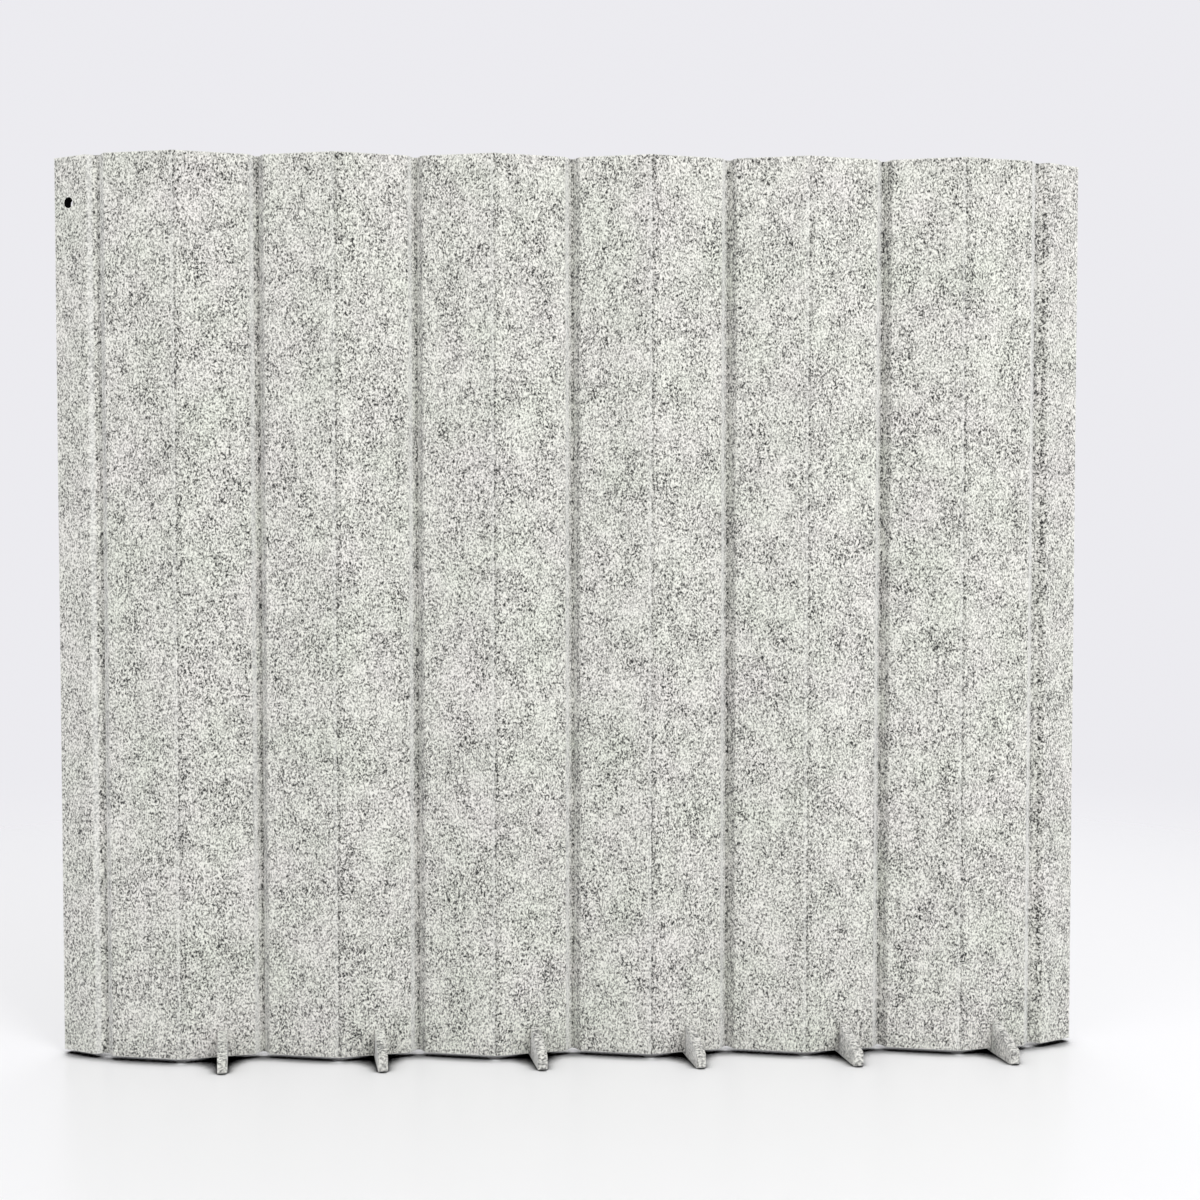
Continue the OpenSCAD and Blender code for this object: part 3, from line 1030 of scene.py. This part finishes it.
def layers_group():
    """Cut felt: thin layers side by side through the board's thickness, shaved by the blade, which
    leaves the cut a little darker and streaked. The Cut input also carries painted shade, darkened
    the same way, and the Rim input mixes in a pale rim: fuzz of fibres on cut edges, and painted
    highlight."""
    name = "Cut Felt Layers"
    if name in bpy.data.node_groups:
        return bpy.data.node_groups[name]
    tree, n, given, out = group(
        name,
        [("Vector", "NodeSocketVector", None),
         ("Color", "NodeSocketColor", (0.5, 0.5, 0.5, 1.0)),
         ("Height", "NodeSocketFloat", 0.5),
         ("Cut", "NodeSocketFloat", 0.0),
         ("Rim", "NodeSocketFloat", 0.0)],
        [("Color", "NodeSocketColor"), ("Height", "NodeSocketFloat")])
    drawn = n.vector("MULTIPLY", given["Vector"], LAYER_SCALE)
    layers = n.noise(drawn, LAYER_SPACING, 2.0, 0.6)
    nap = n.noise(given["Vector"], NAP_SPACING, 2.0, 0.7)
    streak = n.math("MULTIPLY_ADD", nap, NAP, layers)
    shade = n.math("MULTIPLY_ADD", streak, STREAKS, CUT_SHADE)
    grey = n.add("ShaderNodeCombineColor", Red=shade, Green=shade, Blue=shade)
    cut_colour = n.mix(1.0, given["Color"], grey.outputs[0], "MULTIPLY")
    felt_colour = n.mix(given["Cut"], given["Color"], cut_colour)
    cover = n.math("MULTIPLY_ADD", nap, FUZZ_AND_HIGHLIGHT_VARY, FUZZ_AND_HIGHLIGHT_COVER)
    fuzz_and_highlight = n.math("MULTIPLY", given["Rim"], cover, clamp=True)
    n.put(out["Color"], n.mix(fuzz_and_highlight, felt_colour, FUZZ_AND_HIGHLIGHT_COLOUR))
    cut_height = n.math("MULTIPLY_ADD", streak, STREAK_HEIGHT, given["Height"])
    mixed = n.add("ShaderNodeMix", {"data_type": "FLOAT"})
    for socket, value in zip(mixed.inputs[:1] + mixed.inputs[2:4],
                             (given["Cut"], given["Height"], cut_height)):
        n.put(socket, value)
    n.put(out["Height"], mixed.outputs[0])
    return tree


def material(name):
    """An empty node material, and the nodes of its tree."""
    made = bpy.data.materials.new(name)
    made.use_nodes = True
    made.node_tree.nodes.clear()
    return made, Nodes(made.node_tree)


# How much more contrast and how much darker a tone the marl has where it is cut, and where it is
# painted as shaded
CUT_CONTRAST, CUT_AND_SHADE_TONE = 0.15, -0.46
# How far the bump of the felt's surface stands up for a height of 1
NAP_HEIGHT = 0.4 * MM


def felt_material(name, colours, contrast, bump):
    """Pressed polyester felt: marl, cut layers and a fine nap, with a soft sheen."""
    if name in bpy.data.materials:
        return bpy.data.materials[name]
    made, n = material(name)
    board = n.add("ShaderNodeAttribute", {"attribute_name": "felt"}).outputs["Vector"]
    # The cut attribute carries cut surface and painted shade; the rim attribute a pale rim of fibre
    # fuzz and painted highlight
    cut = n.add("ShaderNodeAttribute", {"attribute_name": "cut"}).outputs["Fac"]
    rim = n.add("ShaderNodeAttribute", {"attribute_name": "rim"}).outputs["Fac"]
    marl = n.add(
        "ShaderNodeGroup", {"node_tree": marl_group(colours)}, Vector=board,
        Contrast=n.math("MULTIPLY_ADD", cut, CUT_CONTRAST, contrast),
        Shift=n.math("MULTIPLY", cut, CUT_AND_SHADE_TONE))
    layers = n.add(
        "ShaderNodeGroup", {"node_tree": layers_group()}, Vector=board,
        Color=marl.outputs["Color"], Height=marl.outputs["Height"], Cut=cut, Rim=rim)
    nap = n.add(
        "ShaderNodeBump", Height=layers.outputs["Height"], Strength=bump, Distance=NAP_HEIGHT)
    felt = n.add(
        "ShaderNodeBsdfPrincipled", Normal=nap.outputs[0], Base_Color=layers.outputs["Color"],
        Roughness=0.92, Specular_IOR_Level=0.25, Sheen_Weight=1.0, Sheen_Roughness=0.5)
    n.add("ShaderNodeOutputMaterial", Surface=felt.outputs[0])
    return made


def hole_shade_material(colours):
    """Painted shade on the wall of the hanging hole: near black, standing in for the shade inside
    it, with the felt's cut layers just showing.
    """
    name = "Dark Hole Wall"
    if name in bpy.data.materials:
        return bpy.data.materials[name]
    made, n = material(name)
    board = n.add("ShaderNodeAttribute", {"attribute_name": "felt"}).outputs["Vector"]
    layers = n.add(
        "ShaderNodeGroup", {"node_tree": layers_group()}, Vector=board,
        Color=rgba(colours.hole_shade_colour), Height=0.5, Cut=1.0)
    nap = n.add(
        "ShaderNodeBump", Height=layers.outputs["Height"], Strength=0.4, Distance=NAP_HEIGHT)
    wall = n.add(
        "ShaderNodeBsdfPrincipled", Normal=nap.outputs[0], Base_Color=layers.outputs["Color"],
        Roughness=1.0, Specular_IOR_Level=0.05)
    n.add("ShaderNodeOutputMaterial", Surface=wall.outputs[0])
    return made


# Painted shadow on the floor: its brightness by the share of its near surroundings that is open,
# and how near is near
CONTACT_SHADOW = ((0.555, 0.0), (0.6, 0.14), (0.655, 0.62), (0.76, 0.91), (0.95, 1.0))
CONTACT_SHADOW_REACH = 46 * MM
# Distances from the screen between which the floor fades into the backdrop, in metres
FLOOR_FADE = (1.2, 4.5)


def floor_material(stage):
    """A pale, faintly glossy floor that fades into the backdrop with distance from the screen, and
    has a painted shadow: it goes dark where something stands on it or close over it."""
    made, n = material("Pale Floor")
    place = n.add("ShaderNodeTexCoord").outputs["Object"]
    reach = n.add("ShaderNodeVectorMath", {"operation": "LENGTH"})
    n.put(reach.inputs[0], place)
    fade = n.add(
        "ShaderNodeMapRange", {"interpolation_type": "SMOOTHSTEP"}, Value=reach.outputs["Value"])
    for label, value in zip(("From Min", "From Max"), FLOOR_FADE):
        fade.inputs[label].default_value = value
    # Painted shadow: ambient occlusion finds what is close by, and the floor is mixed towards black
    # by it
    near = n.add("ShaderNodeAmbientOcclusion", {"samples": 8}, Distance=CONTACT_SHADOW_REACH)
    painted_shadow = n.ramp(near.outputs["AO"], [(share, (v, v, v, 1.0)) for share, v in CONTACT_SHADOW])
    seen = n.add("ShaderNodeLightPath").outputs["Is Camera Ray"]
    lift = n.add("ShaderNodeCombineColor", Red=seen, Green=seen, Blue=seen)
    floor = n.add(
        "ShaderNodeBsdfPrincipled", Roughness=0.25, Base_Color=rgba(stage.floor),
        Emission_Color=lift.outputs[0], Emission_Strength=stage.floor_lift,
        Specular_IOR_Level=0.25)
    shade = n.add("ShaderNodeBsdfDiffuse", Color=(0.0, 0.0, 0.0, 1.0))
    clear = n.add("ShaderNodeBsdfTransparent")
    shaded = n.shader_mix(painted_shadow, shade.outputs[0], floor.outputs[0])
    faded = n.shader_mix(fade.outputs[0], shaded, clear.outputs[0])
    n.add("ShaderNodeOutputMaterial", Surface=faded)
    return made


def body_of(node):
    """The CAD body that a node rides on."""
    bodies = frame["record"]["behaviour"]["bodies"]
    return next(body for body, members in bodies.items() if node in members)


def panel_node(k):
    """The name of panel k's node, from the left end panel, 0, to the right one."""
    return "end_panel_left" if k == 0 else "end_panel_right" if k > PANELS else f"panel_{k:02d}"


def screen_data(context):
    """The sizes, the colours and the stage settings kept with the scene."""
    scene = context.scene
    return scene.felt_sizes, scene.felt_colours, scene.stage_settings


class FELTSCREEN_OT_panels(Operator):
    """Add the fourteen panels of the board, with their grooves, scores, slots and hanging hole"""

    bl_idname = "felt_screen.add_panels"
    bl_label = "Panels"

    def execute(self, context):
        sizes, colours, _ = screen_data(context)
        plan = Plan(sizes)
        felt = felt_material("Felt Board", colours, 1.0, 0.5)
        for k in range(PANELS + 2):
            node = panel_node(k)
            if 0 < k <= PANELS:
                places, quads, cut, rim, wall = panel_mesh(plan, sizes, k)
            else:
                places, quads, cut, rim, wall = end_panel_mesh(plan, sizes, mirrored=k == 0)
            u, z, v = places.T
            materials = [felt] if wall is None else [felt, hole_shade_material(colours)]
            board = np.column_stack([u + max(k - 1, 0) * plan.pitch, v, z])
            world = np.column_stack([plan.on_panel(k, u, v), z])
            piece = felt_object(f"felt_{node}", world, quads, board, cut, rim, materials, wall)
            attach(piece, body_of(node))
            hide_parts(node)
        return {"FINISHED"}


# Shares of cut surface and painted shade on a fold's scored and on its grooved side, of painted
# highlight on the painted-lit half of its score, and where across the fold the painted-lit half
# begins and is full
SCORED_CUT_AND_SHADE, GROOVED_CUT_AND_SHADE, FOLD_HIGHLIGHT = 0.45, 0.6, 0.45
LIT_SIDE_FROM, LIT_SIDE_FULL = 0.3 * MM, -1.0 * MM


class FELTSCREEN_OT_folds(Operator):
    """Add the thirteen strips of uncut felt that the board folds on"""

    bl_idname = "felt_screen.add_folds"
    bl_label = "Folds"

    def execute(self, context):
        sizes, colours, _ = screen_data(context)
        plan = Plan(sizes)
        felt = felt_material("Felt Fold", colours, 0.9, 0.5)
        for fold in range(PANELS + 1):
            node = f"fold_web_{fold:02d}"
            places, quads, _ = fold_mesh(plan, sizes, fold)
            x, z, y = places.T
            board = np.column_stack([x + fold * plan.pitch, y + plan.side(fold), z])
            scored = y * plan.side(fold) > 0
            # The painted-lit half of the score gets painted highlight; the rest is darkened as cut
            # felt and painted shade
            painted_lit_side = smooth_step(LIT_SIDE_FROM, LIT_SIDE_FULL, x) * scored
            cut = (1 - painted_lit_side) * np.where(scored, SCORED_CUT_AND_SHADE, GROOVED_CUT_AND_SHADE)
            piece = felt_object(
                f"felt_{node}", bent(plan, fold, x, y, z), quads, board, cut,
                FOLD_HIGHLIGHT * painted_lit_side, [felt])
            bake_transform(piece)
            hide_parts(node)
        return {"FINISHED"}


# Share of pale rim on a foot's cut edges: partly fuzz of fibres, partly painted highlight
FOOT_RIM = 0.25
# Where in the felt's pattern the feet lie, in metres: how far apart two of them are along it and
# up it, and how far they all are from the board through it
FOOT_ALONG, FOOT_UP, FOOT_THROUGH = 0.31, 0.17, 0.5


class FELTSCREEN_OT_feet(Operator):
    """Add the six slotted feet"""

    bl_idname = "felt_screen.add_feet"
    bl_label = "Feet"

    def execute(self, context):
        sizes, colours, _ = screen_data(context)
        plan = Plan(sizes)
        felt = felt_material("Felt Foot", colours, 1.0, 0.6)
        for foot in range(1, PANELS // 2 + 1):
            node = f"foot_{foot}"
            places, quads, edge = foot_mesh(sizes, FOOT_SEED + FOOT_SEEDS * foot)
            v, z, u = places.T
            world = np.column_stack([plan.on_panel(2 * foot, plan.pitch / 2 + u, v), z])
            board = np.column_stack([
                v + FOOT_ALONG * foot, u + FOOT_THROUGH, z + FOOT_UP * foot])
            rim = np.where(edge < 1, edge, FOOT_RIM)
            piece = felt_object(
                f"felt_{node}", world, quads, board, edge_cut(edge), rim, [felt])
            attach(piece, body_of(node))
            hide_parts(node)
        return {"FINISHED"}


# The floor's disc: radius of its first and last ring in metres, rings, and points on each
FIRST_RING, LAST_RING, RINGS, RING_POINTS = 0.05, 6.0, 24, 64
# Place and size in metres of each lamp, and what they are all turned to
LAMPS = {
    "key": ((3.0, -4.4, 3.0), 2.4),
    "fill": ((-2.8, -2.8, 2.0), 2.6),
    "back": ((0.5, 4.4, 3.4), 2.4),
}
LAMP_AIM = (0.0, 0.0, 0.8)
# The camera's place in metres, how far in degrees it looks down and is turned clockwise, and the
# width of its sensor in mm
CAMERA_PLACE, CAMERA_DOWN, CAMERA_TURN = (-0.050, -2.888, 0.969), 1.969, 2.006
SENSOR_WIDTH = 36.0


class FELTSCREEN_OT_stage(Operator):
    """Add the floor, the lights, the background and the camera"""

    bl_idname = "felt_screen.add_stage"
    bl_label = "Stage"

    def execute(self, context):
        _, _, stage = screen_data(context)
        self.floor(stage)
        self.world(context, stage)
        self.lights(stage)
        self.camera(context, stage)
        context.scene.view_settings.view_transform = "Standard"
        return {"FINISHED"}

    def floor(self, stage):
        """A flat disc: radius times the cosine and the sine of the angle, on growing rings."""
        radius, angle = np.meshgrid(
            np.linspace(FIRST_RING, LAST_RING, RINGS),
            np.linspace(0, 2 * math.pi, RING_POINTS, endpoint=False), indexing="ij")
        rings = np.stack([radius * np.cos(angle), radius * np.sin(angle), 0 * radius], -1)
        places = np.concatenate([[[0, 0, 0]], rings.reshape(-1, 3)])
        index = 1 + np.arange(radius.size).reshape(radius.shape)
        onward = np.roll(index, -1, 1)
        quads = np.stack([index[:-1], index[1:], onward[1:], onward[:-1]], -1).reshape(-1, 4)
        hub = np.column_stack([np.zeros(RING_POINTS, int), index[0], onward[0]])
        mesh = bpy.data.meshes.new("floor")
        mesh.from_pydata(places.tolist(), [], quads.tolist() + hub.tolist())
        mesh.materials.append(floor_material(stage))
        floor = bpy.data.objects.new("floor", mesh)
        bpy.context.scene.collection.objects.link(floor)
        floor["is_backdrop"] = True

    def world(self, context, stage):
        """Even light from all round, and the backdrop's own colour where it is seen directly, in
        a gloss or through something clear."""
        world = bpy.data.worlds.new("studio")
        context.scene.world = world
        world.use_nodes = True
        world.node_tree.nodes.clear()
        n = Nodes(world.node_tree)
        path = n.add("ShaderNodeLightPath").outputs
        seen = n.math("MAXIMUM", path["Is Camera Ray"], path["Is Glossy Ray"])
        seen = n.math("MAXIMUM", seen, path["Is Transmission Ray"])
        light = n.add("ShaderNodeBackground", Color=(1.0, 1.0, 1.0, 1.0), Strength=stage.sky)
        drop = n.add("ShaderNodeBackground", Color=rgba(stage.backdrop), Strength=1.0)
        both = n.shader_mix(seen, light.outputs[0], drop.outputs[0])
        n.add("ShaderNodeOutputWorld", Surface=both)

    def lights(self, stage):
        """Three large soft lamps, each turned to the middle of the screen."""
        for name, (place, size) in LAMPS.items():
            lamp = bpy.data.lights.new(name, "AREA")
            lamp.shape = "SQUARE"
            lamp.size = size
            lamp.energy = getattr(stage, f"{name}_power")
            thing = bpy.data.objects.new(name, lamp)
            thing.location = place
            away = np.array(place) - LAMP_AIM
            flat = math.hypot(away[0], away[1])
            thing.rotation_euler = (
                math.atan2(flat, away[2]), 0.0, math.atan2(away[0], -away[1]))
            bpy.context.scene.collection.objects.link(thing)

    def camera(self, context, stage):
        """The camera at the photograph's place and angle."""
        lens = bpy.data.cameras.new("camera")
        lens.sensor_width = SENSOR_WIDTH
        lens.lens = stage.focal_length
        camera = bpy.data.objects.new("camera", lens)
        camera.location = CAMERA_PLACE
        camera.rotation_euler = (math.radians(90 - CAMERA_DOWN), 0.0, -math.radians(CAMERA_TURN))
        context.scene.collection.objects.link(camera)
        context.scene.camera = camera


class FELTSCREEN_PT_sidebar(Panel):
    """Lists the screen's sizes, colours and building steps"""

    bl_label = "Felt Screen"
    bl_space_type = "VIEW_3D"
    bl_region_type = "UI"
    bl_category = "Felt Screen"

    def draw(self, context):
        layout = self.layout
        for step in STEPS:
            layout.operator(step.bl_idname)
        for group_name in SETTINGS:
            settings = getattr(context.scene, group_name)
            column = layout.column(heading=group_name.replace("_", " ").title())
            for key in settings.__annotations__:
                column.prop(settings, key)


STEPS = (FELTSCREEN_OT_panels, FELTSCREEN_OT_folds, FELTSCREEN_OT_feet, FELTSCREEN_OT_stage)
SETTINGS = {
    "felt_sizes": FeltSizes, "felt_colours": FeltColours, "stage_settings": StageSettings}
CLASSES = (*SETTINGS.values(), *STEPS, FELTSCREEN_PT_sidebar)


def register():
    """Registers the classes, and keeps their settings with the scene."""
    for made in CLASSES:
        bpy.utils.register_class(made)
    for name, made in SETTINGS.items():
        setattr(bpy.types.Scene, name, PointerProperty(type=made))


def unregister():
    """Takes back what register did, in the opposite order."""
    for name in SETTINGS:
        delattr(bpy.types.Scene, name)
    for made in reversed(CLASSES):
        bpy.utils.unregister_class(made)


def main():
    """Registers the add-on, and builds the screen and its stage."""
    register()
    bpy.ops.felt_screen.add_panels()
    bpy.ops.felt_screen.add_folds()
    bpy.ops.felt_screen.add_feet()
    bpy.ops.felt_screen.add_stage()
    bpy.context.view_layer.update()
    {"cad": CAD_BOX, "visual": [list(corner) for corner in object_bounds()]}


if __name__ == "__main__":
    main()
